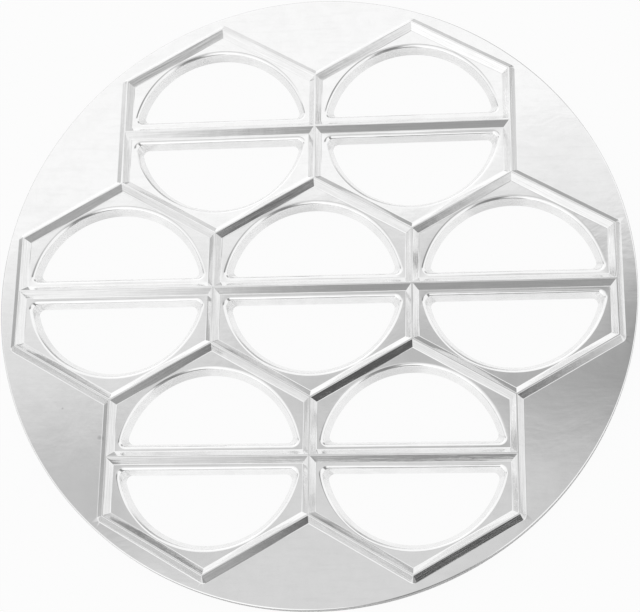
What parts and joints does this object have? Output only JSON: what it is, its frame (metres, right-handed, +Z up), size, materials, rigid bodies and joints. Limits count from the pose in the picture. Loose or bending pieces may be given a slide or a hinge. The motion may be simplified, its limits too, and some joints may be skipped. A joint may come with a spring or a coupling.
{
  "type": "ravioli mold",
  "caption": "Round cast aluminium dough mold: hexagonal cells edged by roof-shaped ridges, each with a round hole that a ridged bar splits into half-moons.",
  "frame": {"origin": "centre of the round plate on its underside", "axes": "+Z up out of the ridged face, +X along the bars, +Y across the bars towards one of the rows of two cells"},
  "size_m": [0.245, 0.245, 0.0067],
  "materials": {
    "cast_aluminium": "bright machined casting, satin with soft casting marks"
  },
  "bodies": {
    "root": {"mold_plate": "cast_aluminium"}
  },
  "joints": []
}
